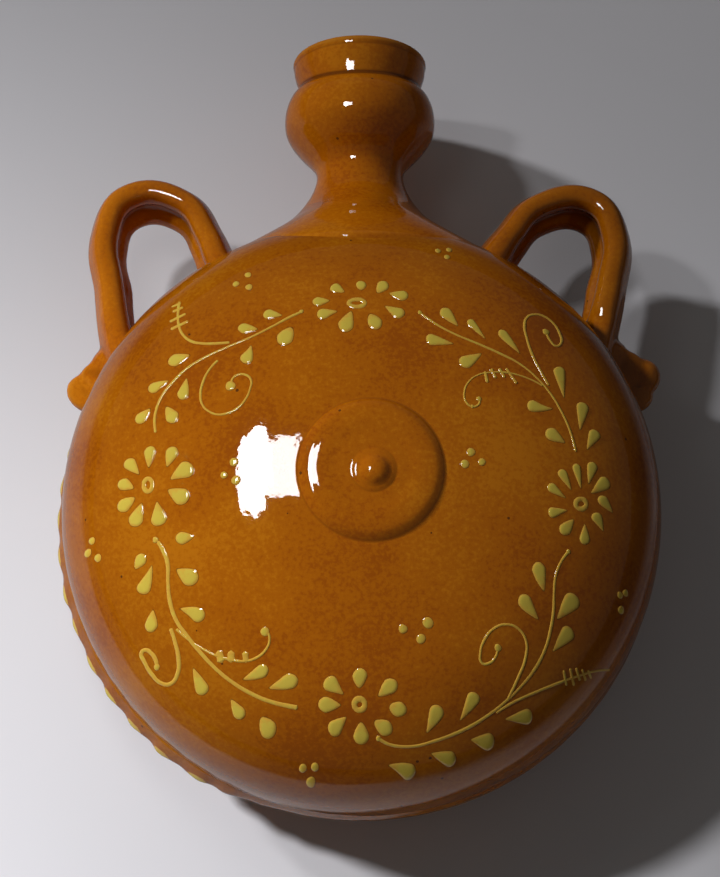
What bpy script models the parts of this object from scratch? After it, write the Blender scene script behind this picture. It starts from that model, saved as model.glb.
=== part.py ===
"""Glazed pilgrim flask lying on its back: two thrown shells, a crimped edge strip, a neck,
two strap handles and a front boss. +Z is out of the front, +Y towards the mouth.
The origin is the centre of the flat that it rests on. Metres."""

import math

import bmesh
import bpy
from mathutils import Matrix, Vector

# Body: both shells share one rim radius, measured outside the wall
BODY_RADIUS = 0.1185
FRONT_DEPTH = 0.080
BACK_DEPTH = 0.048
FOOT_FLAT = 0.002
WALL = 0.006
# How full a shell's shoulder is: 2 is an ellipse, more is squarer
FRONT_FULLNESS = 3.3
BACK_FULLNESS = 2.6

# Gap left between pieces that are luted together
JOINT_GAP = 0.0003

# Boss: a low disc with a nipple on the front
BOSS_RADIUS = 0.0265
BOSS_STEP = 0.0020
BOSS_CROWN = 0.0030
BOSS_SHIFT = 0.0018
NIPPLE_RADIUS = 0.0070
NIPPLE_HEIGHT = 0.0065

# Edge strip: a band round the seam, crimped like a pie crust
STRIP_WIDTH = 0.0090
STRIP_REACH = 0.0028
CRIMP_COUNT = 50
CRIMP_DEPTH = 0.0011

# Neck: radii of its outside, and how far each lies below the top of the lip
NECK_REACH = 0.0830
NECK_WALL = 0.0055
LIP_RADIUS = 0.0280
LIP_ROLL = 0.0028
LIP_TUCK = 0.0006
GROOVE_RADIUS = 0.0258
GROOVE_DROP = 0.0102
BULB_RADIUS = 0.0318
BULB_DROP = 0.0288
WAIST_RADIUS = 0.0180
WAIST_DROP = 0.0562
FLARE_RADIUS = 0.0620
FLARE_SINK = 0.0185
# Share of the flare that the neck keeps towards the front and towards the back
FLARE_FRONT = 0.65
FLARE_BACK = 0.20

# Handles: a strap in the plane of the seam, with its foot pressed out into a lump
HANDLE_ANGLE = math.radians(41)
STRAP_WIDTH = 0.0240
STRAP_THICKNESS = 0.0130
STRAP_GROOVE = 0.0020
# The strap's centre line, as tangential distance and height above the shells' rim
STRAP_PATH = (
    (-0.0240, -0.0150),
    (-0.0315, 0.0120),
    (-0.0325, 0.0305),
    (-0.0160, 0.0460),
    (0.0010, 0.0395),
    (0.0145, 0.0215),
    (0.0350, -0.0150),
)
# The lump sits this far along from the handle's middle, so it stays on the strap's foot
LUMP_ALONG = 0.0454
LUMP_RISE = 0.0055
LUMP_RADII = (0.0110, 0.0130, 0.0110)

SEAM_HEIGHT = BACK_DEPTH - FOOT_FLAT
MOUTH_Y = BODY_RADIUS + NECK_REACH
STRIP_RADIUS = BODY_RADIUS + JOINT_GAP + STRIP_REACH
BORE_RADIUS = WAIST_RADIUS - NECK_WALL

BODY_SIDES = 48
NECK_SIDES = 36
BOSS_SIDES = 32
SIDES_PER_CRIMP = 3

GLAZE = (0.42, 0.125, 0.012, 1.0)
GLAZE_DARK = (0.30, 0.080, 0.010, 1.0)
GLAZE_PALE = (0.50, 0.22, 0.045, 1.0)
SLIP = (0.62, 0.46, 0.10, 1.0)


def clear_scene():
    for obj in list(bpy.data.objects):
        bpy.data.objects.remove(obj, do_unlink=True)


def glaze_material(name, color, roughness):
    material = bpy.data.materials.new(name)
    material.use_nodes = True
    shader = material.node_tree.nodes["Principled BSDF"]
    shader.inputs["Base Color"].default_value = color
    shader.inputs["Roughness"].default_value = roughness
    shader.inputs["Metallic"].default_value = 0.0
    return material


def object_from(bm, name, material=None):
    bmesh.ops.recalc_face_normals(bm, faces=bm.faces)
    mesh = bpy.data.meshes.new(name)
    bm.to_mesh(mesh)
    bm.free()
    mesh.shade_smooth()
    mesh.set_sharp_from_angle(angle=math.radians(40))
    obj = bpy.data.objects.new(name, mesh)
    bpy.context.collection.objects.link(obj)
    if material:
        mesh.materials.append(material)
    return obj


def turned(profile, sides):
    """A solid of revolution about Z from (radius, height) points; the caller frees it."""
    bm = bmesh.new()
    rail = [bm.verts.new((radius, 0.0, height)) for radius, height in profile]
    edges = [bm.edges.new(pair) for pair in zip(rail, rail[1:])]
    if profile[0][0] > 0:
        edges.append(bm.edges.new((rail[-1], rail[0])))
    bmesh.ops.spin(
        bm,
        geom=rail + edges,
        axis=(0, 0, 1),
        cent=(0, 0, 0),
        angle=math.tau,
        steps=sides,
        use_merge=True,
    )
    bmesh.ops.remove_doubles(bm, verts=bm.verts, dist=0.00001)
    return bm


def boolean(obj, other, operation="DIFFERENCE"):
    """Leave the modifier on obj, and keep the other object out of the render."""
    modifier = obj.modifiers.new(f"{operation.lower()} {other.name}", "BOOLEAN")
    modifier.operation = operation
    modifier.object = other
    other.hide_render = True
    other.display_type = "WIRE"


def shell_curve(radius, depth, fullness, steps):
    """Points of a shell's surface from its crown to its rim, as (radius, height over the rim)."""
    points = []
    for step in range(steps + 1):
        turn = math.pi / 2 * step / steps
        height = depth * max(math.cos(turn), 0.0) ** (2 / fullness) if step < steps else 0.0
        points.append((radius * math.sin(turn), height))
    return points


def front_height(radius):
    """Height of the front shell's outside over the seam at a distance from its middle."""
    return FRONT_DEPTH * (1 - (radius / BODY_RADIUS) ** 2) ** (1 / FRONT_FULLNESS)


def front_shell(material):
    rim = SEAM_HEIGHT + JOINT_GAP / 2
    outside = shell_curve(BODY_RADIUS, FRONT_DEPTH, FRONT_FULLNESS, 14)
    inside = shell_curve(BODY_RADIUS - WALL, FRONT_DEPTH - WALL, FRONT_FULLNESS, 10)
    profile = [(radius, rim + height) for radius, height in outside + inside[::-1]]
    return object_from(turned(profile, BODY_SIDES), "front_shell", material)


def back_shell(material):
    rim = SEAM_HEIGHT - JOINT_GAP / 2
    outside = back_outside(0.0, 12)
    inside = shell_curve(BODY_RADIUS - WALL, rim - WALL, BACK_FULLNESS, 9)
    profile = [(radius, rim - height) for radius, height in inside]
    profile += [(radius, rim - depth) for radius, depth in outside]
    return object_from(turned(profile, BODY_SIDES), "back_shell", material)


def back_outside(grow, steps):
    """The back's outside from rim to middle, as (radius, depth under the rim), with its flat."""
    flat = SEAM_HEIGHT - JOINT_GAP / 2 + grow
    curve = shell_curve(BODY_RADIUS + grow, BACK_DEPTH + grow, BACK_FULLNESS, steps)
    above = [point for point in curve[::-1] if point[1] < flat]
    share = (flat / (BACK_DEPTH + grow)) ** BACK_FULLNESS
    foot_radius = (BODY_RADIUS + grow) * math.sqrt(1 - share)
    return above + [(foot_radius, flat), (0.0, flat)]


def body_space(name, with_strip):
    """The room that the body takes, grown by the joint gap, for cutting what is luted to it."""
    grow = JOINT_GAP
    front = shell_curve(BODY_RADIUS + grow, FRONT_DEPTH + grow, FRONT_FULLNESS, 14)
    profile = [(radius, SEAM_HEIGHT + height) for radius, height in front[:-1]]
    if with_strip:
        reach = STRIP_RADIUS + grow
        half = STRIP_WIDTH / 2 + grow
        profile += [(BODY_RADIUS + grow, SEAM_HEIGHT + half), (reach, SEAM_HEIGHT + half)]
        profile += [(reach, SEAM_HEIGHT - half), (BODY_RADIUS + grow, SEAM_HEIGHT - half)]
    back = [(radius, SEAM_HEIGHT - depth) for radius, depth in back_outside(grow, 12)]
    profile += back[1:] if with_strip else back
    return object_from(turned(profile, BODY_SIDES), name)


def front_boss(material):
    """The disc follows the dome underneath, and its nipple is domed."""
    edge = front_height(BOSS_RADIUS) + BOSS_STEP
    crown = FRONT_DEPTH + BOSS_CROWN
    skirt = front_height(BOSS_RADIUS + BOSS_SHIFT) - WALL / 2
    profile = []
    for step in range(5):
        turn = math.radians(20) * step
        height = crown + NIPPLE_HEIGHT * math.cos(turn)
        profile.append((NIPPLE_RADIUS * math.sin(turn), height))
    for share in (0.3, 0.55, 0.8, 0.96):
        profile.append((BOSS_RADIUS * share, crown + (edge - crown) * share**2))
    profile += [(BOSS_RADIUS, edge - BOSS_STEP / 3), (BOSS_RADIUS, skirt), (0.0, skirt)]
    bm = turned([(radius, height + SEAM_HEIGHT) for radius, height in profile], BOSS_SIDES)
    bmesh.ops.translate(bm, verts=bm.verts, vec=(BOSS_SHIFT, 0, 0))
    return object_from(bm, "front_boss", material)


def edge_strip(material):
    """A band round the seam whose outer edge is drawn in between its crests."""
    inner = BODY_RADIUS + JOINT_GAP
    half = STRIP_WIDTH / 2
    corner = STRIP_REACH * 0.4
    profile = (
        (inner, half),
        (STRIP_RADIUS - corner, half),
        (STRIP_RADIUS, half / 2),
        (STRIP_RADIUS, -half / 2),
        (STRIP_RADIUS - corner, -half),
        (inner, -half),
    )
    bm = turned(profile, CRIMP_COUNT * SIDES_PER_CRIMP)
    for vert in bm.verts:
        radius = vert.co.xy.length
        if radius < inner + corner / 2:
            continue
        around = math.atan2(vert.co.y, vert.co.x) * CRIMP_COUNT
        drawn_in = CRIMP_DEPTH * (1 - math.cos(around)) / 2
        vert.co.xy = vert.co.xy * (radius - drawn_in) / radius
    bmesh.ops.translate(bm, verts=bm.verts, vec=(0, 0, SEAM_HEIGHT))
    return object_from(bm, "edge_strip", material)


def neck_outside(grow=0.0):
    """The neck's outside as (radius, distance from the body's middle), from lip to flare."""
    points = [(LIP_RADIUS - LIP_ROLL, 0.0), (LIP_RADIUS - LIP_ROLL * 0.3, LIP_ROLL * 0.3)]
    points += [(LIP_RADIUS, LIP_ROLL), (LIP_RADIUS - LIP_TUCK, LIP_ROLL * 1.8)]
    for step in range(4):
        share = step / 4
        radius = GROOVE_RADIUS + (BULB_RADIUS - GROOVE_RADIUS) * math.sin(share * math.pi / 2)
        points.append((radius, GROOVE_DROP + (BULB_DROP - GROOVE_DROP) * share))
    for step in range(7):
        share = step / 7
        radius = WAIST_RADIUS + (BULB_RADIUS - WAIST_RADIUS) * (1 + math.cos(share * math.pi)) / 2
        points.append((radius, BULB_DROP + (WAIST_DROP - BULB_DROP) * share))
    root_drop = NECK_REACH + FLARE_SINK
    for step in range(9):
        share = step / 8
        radius = WAIST_RADIUS + (FLARE_RADIUS - WAIST_RADIUS) * (1 - math.cos(share * math.pi / 2))
        points.append((radius, WAIST_DROP + (root_drop - WAIST_DROP) * share))
    return [(radius + grow, MOUTH_Y - drop) for radius, drop in points]


def neck_inside():
    """The bore from the flare's root up to the lip: it follows the bulb at one wall's depth."""
    root_y = BODY_RADIUS - FLARE_SINK
    points = [(BORE_RADIUS, root_y), (BORE_RADIUS, MOUTH_Y - WAIST_DROP)]
    for radius, place in neck_outside()[14:4:-1]:
        points.append((max(radius - NECK_WALL, BORE_RADIUS), place))
    points.append((LIP_RADIUS - NECK_WALL, MOUTH_Y - LIP_ROLL))
    points.append((LIP_RADIUS - NECK_WALL + LIP_ROLL * 0.4, MOUTH_Y - LIP_ROLL * 0.2))
    return points


def lay_down(bm):
    """Turn a neck from Z to Y, then draw its flare in towards the front and the back."""
    quarter = Matrix.Rotation(-math.pi / 2, 3, "X")
    bmesh.ops.rotate(bm, verts=bm.verts, cent=(0, 0, 0), matrix=quarter)
    for vert in bm.verts:
        if vert.co.y > MOUTH_Y - WAIST_DROP:
            continue
        radius = math.hypot(vert.co.x, vert.co.z)
        if radius <= WAIST_RADIUS:
            continue
        kept = FLARE_FRONT if vert.co.z > 0 else FLARE_BACK
        vert.co.z *= (WAIST_RADIUS + (radius - WAIST_RADIUS) * kept) / radius
    bmesh.ops.translate(bm, verts=bm.verts, vec=(0, 0, SEAM_HEIGHT))
    return bm


def neck(material):
    profile = neck_outside() + neck_inside()
    return object_from(lay_down(turned(profile, NECK_SIDES)), "neck", material)


def neck_space():
    """The room that the neck takes, grown by the joint gap, with no bore."""
    outside = neck_outside(JOINT_GAP)
    profile = [(0.0, outside[0][1] + JOINT_GAP)] + outside + [(0.0, outside[-1][1])]
    return object_from(lay_down(turned(profile, NECK_SIDES)), "neck_space")


def bore_cutter():
    """The hole through the seam, under the neck."""
    bm = bmesh.new()
    bmesh.ops.create_cone(
        bm,
        cap_ends=True,
        segments=24,
        radius1=BORE_RADIUS,
        radius2=BORE_RADIUS,
        depth=6 * WALL,
    )
    quarter = Matrix.Rotation(math.pi / 2, 3, "X")
    bmesh.ops.rotate(bm, verts=bm.verts, cent=(0, 0, 0), matrix=quarter)
    bmesh.ops.translate(bm, verts=bm.verts, vec=(0, BODY_RADIUS - WALL, SEAM_HEIGHT))
    return object_from(bm, "bore_cutter")


def rim_point(angle, tangential, height, side):
    """A place near the rim, from its angle off the mouth and its height over the shells."""
    outward = Vector((math.sin(angle), math.cos(angle), 0))
    along = Vector((math.cos(angle), -math.sin(angle), 0))
    place = outward * (BODY_RADIUS + height) + along * tangential
    return Vector((place.x * side, place.y, SEAM_HEIGHT))


def strap_section():
    """A rounded oblong across the strap, with a groove along its inner face."""
    points = []
    for step in range(16):
        turn = math.tau * step / 16
        across = abs(math.cos(turn)) ** 0.7 * math.copysign(STRAP_THICKNESS / 2, math.cos(turn))
        along = abs(math.sin(turn)) ** 0.7 * math.copysign(STRAP_WIDTH / 2, math.sin(turn))
        if across > 0:
            across -= STRAP_GROOVE * math.exp(-((along / (STRAP_WIDTH * 0.2)) ** 2))
        points.append((across, along))
    return points


def section_object(name, side):
    curve = bpy.data.curves.new(name, "CURVE")
    curve.dimensions = "2D"
    spline = curve.splines.new("POLY")
    points = strap_section()
    spline.points.add(len(points) - 1)
    for point, (across, along) in zip(spline.points, points):
        point.co = (across * side, along, 0, 1)
    spline.use_cyclic_u = True
    section = bpy.data.objects.new(name, curve)
    section.hide_render = True
    bpy.context.collection.objects.link(section)
    return section


def handle(name, side, material):
    """A strap swept along its loop, with the lump of its foot joined on."""
    curve = bpy.data.curves.new(name, "CURVE")
    curve.dimensions = "3D"
    curve.twist_mode = "Z_UP"
    curve.resolution_u = 5
    curve.bevel_mode = "OBJECT"
    curve.bevel_object = section_object(name + "_section", side)
    curve.use_fill_caps = True
    spline = curve.splines.new("BEZIER")
    spline.bezier_points.add(len(STRAP_PATH) - 1)
    for point, (tangential, height) in zip(spline.bezier_points, STRAP_PATH):
        point.co = rim_point(HANDLE_ANGLE, tangential, height, side)
        point.handle_left_type = "AUTO"
        point.handle_right_type = "AUTO"
    guide = bpy.data.objects.new(name + "_guide", curve)
    bpy.context.collection.objects.link(guide)
    bpy.context.view_layer.update()
    swept = guide.evaluated_get(bpy.context.evaluated_depsgraph_get()).to_mesh()
    bm = bmesh.new()
    bm.from_mesh(swept)
    guide.hide_render = True
    bmesh.ops.remove_doubles(bm, verts=bm.verts, dist=0.00001)
    strap = object_from(bm, name, material)
    boolean(strap, lump(name + "_lump", side), "UNION")
    return strap


def lump(name, side):
    """The end of the strap, pressed out over the edge by a thumb."""
    bm = bmesh.new()
    bmesh.ops.create_uvsphere(bm, u_segments=16, v_segments=10, radius=1.0)
    bmesh.ops.scale(bm, verts=bm.verts, vec=LUMP_RADII)
    angle = HANDLE_ANGLE + math.asin(LUMP_ALONG / (BODY_RADIUS + LUMP_RISE))
    turn = Matrix.Rotation(side * (math.pi / 2 - angle), 3, "Z")
    bmesh.ops.rotate(bm, verts=bm.verts, cent=(0, 0, 0), matrix=turn)
    bmesh.ops.translate(bm, verts=bm.verts, vec=rim_point(angle, 0, LUMP_RISE, side))
    return object_from(bm, name)


def build():
    clear_scene()
    glaze = glaze_material("honey_glaze", GLAZE, 0.08)
    back_glaze = glaze_material("back_glaze", GLAZE_DARK, 0.15)
    strip_glaze = glaze_material("strip_glaze", SLIP, 0.2)
    handle_glaze = glaze_material("handle_glaze", GLAZE_PALE, 0.1)

    front = front_shell(glaze)
    back = back_shell(back_glaze)
    boss = front_boss(glaze)
    strip = edge_strip(strip_glaze)
    throat = neck(glaze)
    handles = [handle("handle_left", -1, handle_glaze), handle("handle_right", 1, handle_glaze)]

    shells = body_space("shell_space", with_strip=False)
    body = body_space("body_space", with_strip=True)
    bore = bore_cutter()
    throat_room = neck_space()
    for shell in (front, back):
        boolean(shell, bore)
    for piece in (boss, throat):
        boolean(piece, shells)
    boolean(strip, throat_room)
    for strap in handles:
        boolean(strap, body)
        boolean(strap, throat_room)


build()
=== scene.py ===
import math
import random

import bpy
import numpy
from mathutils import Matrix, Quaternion, Vector


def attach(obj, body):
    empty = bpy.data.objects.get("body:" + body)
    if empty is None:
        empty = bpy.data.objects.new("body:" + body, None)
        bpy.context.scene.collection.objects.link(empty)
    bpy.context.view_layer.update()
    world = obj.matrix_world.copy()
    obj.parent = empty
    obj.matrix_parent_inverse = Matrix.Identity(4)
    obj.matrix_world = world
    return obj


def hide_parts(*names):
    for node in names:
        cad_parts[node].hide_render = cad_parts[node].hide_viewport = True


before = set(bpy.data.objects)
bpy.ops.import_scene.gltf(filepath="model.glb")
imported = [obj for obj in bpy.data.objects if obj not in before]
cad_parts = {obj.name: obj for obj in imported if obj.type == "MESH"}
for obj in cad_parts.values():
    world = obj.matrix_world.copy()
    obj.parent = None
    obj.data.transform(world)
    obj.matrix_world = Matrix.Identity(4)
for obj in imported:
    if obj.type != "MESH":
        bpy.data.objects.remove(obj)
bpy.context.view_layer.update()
random.seed(7)

# The flask lies on its back: x to the right, y to the mouth, z out of the front. Metres.
body = {
    "radius": 0.1185,
    "seam": 0.046,
    "seamSlack": 0.00015,  # each shell stops this far from the seam
    "frontDepth": 0.080,
    "frontFull": 3.3,  # 2 is an ellipse, more has a squarer shoulder
    "frontSteps": (84, 24),  # rings outside and inside
    "backDepth": 0.048,
    "backFull": 2.6,
    "backSteps": (60, 20),
    "footHollow": ((0.66, 0), (0.6, 0.0005), (0, 0.0007)),  # share of the flat, height
    "wall": 0.006,
    "turns": 192,
    "uneven": 0.0007,
    "unevenSize": 0.09,
    "bore": 0.0128,
    "boreLong": 0.05,
}


# Small helpers


def letGo():
    if bpy.context.object and bpy.context.object.mode != "OBJECT":
        bpy.ops.object.mode_set(mode="OBJECT")
    bpy.ops.object.select_all(action="DESELECT")


def take(obj):
    letGo()
    obj.select_set(True)
    bpy.context.view_layer.objects.active = obj
    return obj


def ease(share):
    # from 0 to 1 with a soft start and end
    return share * share * (3 - 2 * share)


def softLine(points, steps):
    # a smooth line through the points
    points = [Vector(point) for point in points]
    line = []
    for i in range(len(points) - 1):
        before = points[max(i - 1, 0)]
        start, end = points[i], points[i + 1]
        after = points[min(i + 2, len(points) - 1)]
        for step in range(steps):
            t = step / steps
            line.append(
                0.5
                * (
                    2 * start
                    + (end - before) * t
                    + (2 * before - 5 * start + 4 * end - after) * t**2
                    + (3 * start - before - 3 * end + after) * t**3
                )
            )
    line.append(points[-1])
    return line


def openMesh(obj, select="SELECT"):
    # into edit mode, with all of the mesh selected or none of it
    take(obj)
    bpy.ops.object.mode_set(mode="EDIT")
    bpy.ops.mesh.select_all(action=select)


def closeMesh():
    # back out, with the faces turned outward
    bpy.ops.mesh.normals_make_consistent(inside=False)
    bpy.ops.object.mode_set(mode="OBJECT")


def drawLine(name, points):
    # one vertex, pulled along the points with extrude
    letGo()
    bpy.ops.mesh.primitive_plane_add(size=0.001, location=(0, 0, 0))
    obj = bpy.context.object
    obj.name = name
    obj.data.name = name
    openMesh(obj)
    bpy.ops.mesh.merge(type="CENTER")
    here = Vector(points[0])
    bpy.ops.transform.translate(value=here)
    for point in points[1:]:
        step = Vector(point) - here
        bpy.ops.mesh.extrude_region_move(TRANSFORM_OT_translate={"value": step})
        here = Vector(point)
    bpy.ops.object.mode_set(mode="OBJECT")
    return obj


def throw(name, points, turns, axis=(0, 0, 1), center=(0, 0, 0), angle=math.tau):
    # turn a drawn line on the wheel
    obj = drawLine(name, points)
    openMesh(obj)
    bpy.ops.mesh.spin(steps=turns, angle=angle, center=center, axis=axis)
    bpy.ops.mesh.select_all(action="SELECT")
    bpy.ops.mesh.remove_doubles(threshold=0.00001)
    closeMesh()
    return obj


def drawShape(points, closed=True):
    # an outline to sweep along a line
    letGo()
    bpy.ops.curve.primitive_bezier_circle_add()
    shape = bpy.context.object
    shape.data.splines.clear()
    spline = shape.data.splines.new("POLY")
    spline.points.add(len(points) - 1)
    for point, (across, up) in zip(spline.points, points):
        point.co = (across, up, 0, 1)
    spline.use_cyclic_u = closed
    return shape


def sweep(name, shape, places, sizes, steps, closed=False, caps=False):
    # pull a shape along a smooth line, with its size at each place
    letGo()
    bpy.ops.curve.primitive_bezier_curve_add()
    line = bpy.context.object
    line.name = name
    curve = line.data
    curve.splines.clear()
    curve.dimensions = "3D"
    curve.twist_mode = "Z_UP"
    curve.resolution_u = steps
    curve.bevel_mode = "OBJECT"
    curve.bevel_object = shape
    curve.use_fill_caps = caps
    spline = curve.splines.new("BEZIER")
    spline.bezier_points.add(len(places) - 1)
    spline.use_cyclic_u = closed
    for point, place, size in zip(spline.bezier_points, places, sizes):
        point.co = place
        point.radius = size
        point.handle_left_type = point.handle_right_type = "AUTO"
    take(line)
    bpy.ops.object.convert(target="MESH")
    return bpy.context.object


def applyAll(obj):
    take(obj)
    for modifier in list(obj.modifiers):
        bpy.ops.object.modifier_apply(modifier=modifier.name)


def handShape(obj, name, size, depth):
    # the slow unevenness that hands leave in clay
    cloud = bpy.data.textures.new(name, "CLOUDS")
    cloud.noise_scale = size
    cloud.noise_depth = 1
    move = obj.modifiers.new("hands", "DISPLACE")
    move.texture = cloud
    move.texture_coords = "LOCAL"
    move.strength = depth
    move.mid_level = 0.5
    applyAll(obj)


def smooth(obj, angle=50):
    take(obj)
    bpy.ops.object.shade_smooth_by_angle(angle=math.radians(angle))


def finish(obj, material, slotName, *nodes):
    obj.data.materials.clear()
    obj.data.materials.append(material)
    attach(obj, "root")
    if nodes:
        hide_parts(*nodes)


def markSlip(obj, amounts):
    # how thick the yellow slip lies, from 0 to 1 at each vertex
    layer = obj.data.attributes.new("slip", "FLOAT", "POINT")
    for i, amount in enumerate(amounts):
        layer.data[i].value = amount


def markPool(obj, span=0.004, passes=6):
    # where melted glaze gathers: 1 deep in a hollow, -1 on a sharp edge
    mesh = obj.data
    count = len(mesh.vertices)
    places, normals = numpy.empty(count * 3), numpy.empty(count * 3)
    pairs = numpy.empty(len(mesh.edges) * 2, dtype=int)
    mesh.vertices.foreach_get("co", places)
    mesh.vertices.foreach_get("normal", normals)
    mesh.edges.foreach_get("vertices", pairs)
    places, normals = places.reshape(-1, 3), normals.reshape(-1, 3)
    first, second = pairs[0::2], pairs[1::2]
    step = places[second] - places[first]
    square = numpy.maximum((step**2).sum(1), 1e-9)
    edges = numpy.bincount(pairs, minlength=count) + 1e-9
    bend = numpy.bincount(first, (step * normals[first]).sum(1) / square, count)
    bend -= numpy.bincount(second, (step * normals[second]).sum(1) / square, count)
    bend = numpy.clip(bend / edges * 2 * span, -1.5, 1.5)
    for turn in range(passes):  # spread it to the neighbours
        beside = numpy.bincount(first, bend[second], count)
        beside += numpy.bincount(second, bend[first], count)
        bend = 0.4 * bend + 0.6 * beside / edges
    layer = mesh.attributes.new("pool", "FLOAT", "POINT")
    layer.data.foreach_set("value", numpy.clip(bend, -1, 1))


# Camera, set to the photograph's viewing angle

cameraSettings = {
    "place": (-0.0192, -0.1959, 0.8517),
    "aim": (-0.0004, 0.0341, 0.046),
    "roll": 4.65,
    "lens": 84.4,
    "sensor": 36,
    "wide": 720,
    "high": 877,
}


def makeCamera():
    letGo()
    bpy.ops.object.camera_add(location=cameraSettings["place"])
    camera = bpy.context.object
    camera.name = "camera"
    look = Vector(cameraSettings["aim"]) - camera.location
    roll = Quaternion((0, 0, 1), math.radians(cameraSettings["roll"]))
    camera.rotation_mode = "QUATERNION"
    camera.rotation_quaternion = look.to_track_quat("-Z", "Y") @ roll
    camera.data.lens = cameraSettings["lens"]
    camera.data.sensor_width = cameraSettings["sensor"]
    camera.data.clip_start = 0.05
    camera.data.clip_end = 50
    bpy.context.scene.camera = camera
    bpy.context.view_layer.update()


def sightLine(px, py):
    # from the camera through a pixel of the picture
    pixels = cameraSettings["lens"] / cameraSettings["sensor"] * cameraSettings["high"]
    across = (px - cameraSettings["wide"] / 2) / pixels
    up = (cameraSettings["high"] / 2 - py) / pixels
    camera = bpy.context.scene.camera
    turn = camera.matrix_world.to_3x3()
    return camera.matrix_world.translation, (turn @ Vector((across, up, -1))).normalized()


# Materials

honey = {
    "deep": (0.290, 0.068, 0.0010),
    "main": (0.365, 0.100, 0.0012),
    "light": (0.430, 0.136, 0.0028),
    "pooled": (0.100, 0.022, 0.0006),
    "worn": (0.440, 0.170, 0.0150),
    "speck": (0.055, 0.016, 0.004),
    "slipThin": (0.600, 0.330, 0.042),
    "slipThick": (0.570, 0.425, 0.056),
    "slipEdge": (0.110, 0.036, 0.0015),
    "clay": (0.420, 0.190, 0.110),
    "clayRough": 0.7,
    "coatRough": 0.03,
    "coatIor": 1.47,
    "toneSize": 22,
    "tonePlaces": (0.37, 0.50, 0.63),
    "grainSize": 620,
    "grainShare": 0.4,
    "poolFray": 0.35,
    "hollowStops": ((0.10, 0.0), (0.75, 0.85)),
    "edgeStops": ((0.30, 0.0), (0.95, 0.55)),
    "acrossAll": 0.25,  # metres over which the painted shade on the right comes in
    "rimRun": (0.060, 0.112),  # metres off the middle between which the painted rim shade comes in
    "speckSize": 210,
    "speckHalf": 0.13,
    "speckRare": 0.955,
    "speckDark": 0.8,
    "speckDeep": 0.00006,
    "mottleSize": 520,
    "slipFray": 0.25,
    "slipMottle": 1.1,
    "coverStops": ((0.12, 0.0), (0.30, 1.0)),
    "slipPlaces": (0.40, 0.90),
    "wearSize": 60,
    "wearStops": ((0.42, 0.0), (0.66, 1.0)),
    "wearLow": ((0.02, 1.0), (0.22, 0.0)),  # height in centimetres
    "slowSize": 45,
    "slowHeight": 0.00010,
    "peelSize": 110,
    "peelHeight": 0.000068,
    "fineSize": 380,
    "fineHeight": 0.000006,
    "wheelHeight": 0.000003,
    "wheelGap": 0.0052,
    "wheelWander": 0.008,
}

plainGlaze = {
    "tint": 1.0,
    "rightTint": 1.0,  # painted shade: darker towards the right, away from the lamps
    "rimTint": 1.0,  # painted shade: darker towards the rim
    "drift": (0, 0, 0),
    "wheelAxis": "Z",
    "wear": False,
    "slipRim": 1.0,
}


def newNode(tree, kind, **values):
    node = tree.nodes.new(kind)
    for name, value in values.items():
        setattr(node, name, value)
    return node


def ramp(tree, source, stops, mode="LINEAR"):
    node = newNode(tree, "ShaderNodeValToRGB")
    node.color_ramp.interpolation = mode
    elements = node.color_ramp.elements
    while len(elements) < len(stops):
        elements.new(0.5)
    for element, (place, shade) in zip(elements, stops):
        element.position = place
        element.color = (*shade, 1) if isinstance(shade, tuple) else (shade,) * 3 + (1,)
    tree.links.new(source, node.inputs["Fac"])
    return node.outputs["Color"]


def plug(tree, sockets, values):
    # a number or a colour is set, anything else is linked
    for socket, value in zip(sockets, values):
        if isinstance(value, (int, float)):
            socket.default_value = value
        elif isinstance(value, tuple):
            socket.default_value = (*value, 1)
        else:
            tree.links.new(value, socket)


def mixColor(tree, amount, first, second, mode="MIX"):
    node = newNode(tree, "ShaderNodeMix", data_type="RGBA", blend_type=mode)
    plug(tree, (node.inputs[0], node.inputs[6], node.inputs[7]), (amount, first, second))
    return node.outputs[2]


def maths(tree, operation, first, second=0.0):
    node = newNode(tree, "ShaderNodeMath", operation=operation)
    plug(tree, node.inputs, (first, second))
    return node.outputs[0]


def times(tree, first, second):
    return maths(tree, "MULTIPLY", first, second)


def plus(tree, first, second):
    return maths(tree, "ADD", first, second)


def vectorMaths(tree, operation, coords, other=(0, 0, 0)):
    node = newNode(tree, "ShaderNodeVectorMath", operation=operation)
    tree.links.new(coords, node.inputs[0])
    node.inputs[1].default_value = other
    isVector = operation in ("ADD", "MULTIPLY")
    return node.outputs["Vector" if isVector else "Value"]


def noise(tree, coords, size, detail=2.0, rough=0.5):
    node = newNode(tree, "ShaderNodeTexNoise")
    node.inputs["Scale"].default_value = size
    node.inputs["Detail"].default_value = detail
    node.inputs["Roughness"].default_value = rough
    tree.links.new(coords, node.inputs["Vector"])
    return node.outputs["Fac"]


def startMaterial(name):
    material = bpy.data.materials.new(name)
    material.use_nodes = True
    tree = material.node_tree
    coords = newNode(tree, "ShaderNodeTexCoord").outputs["Object"]
    return material, tree, tree.nodes["Principled BSDF"], coords


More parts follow.
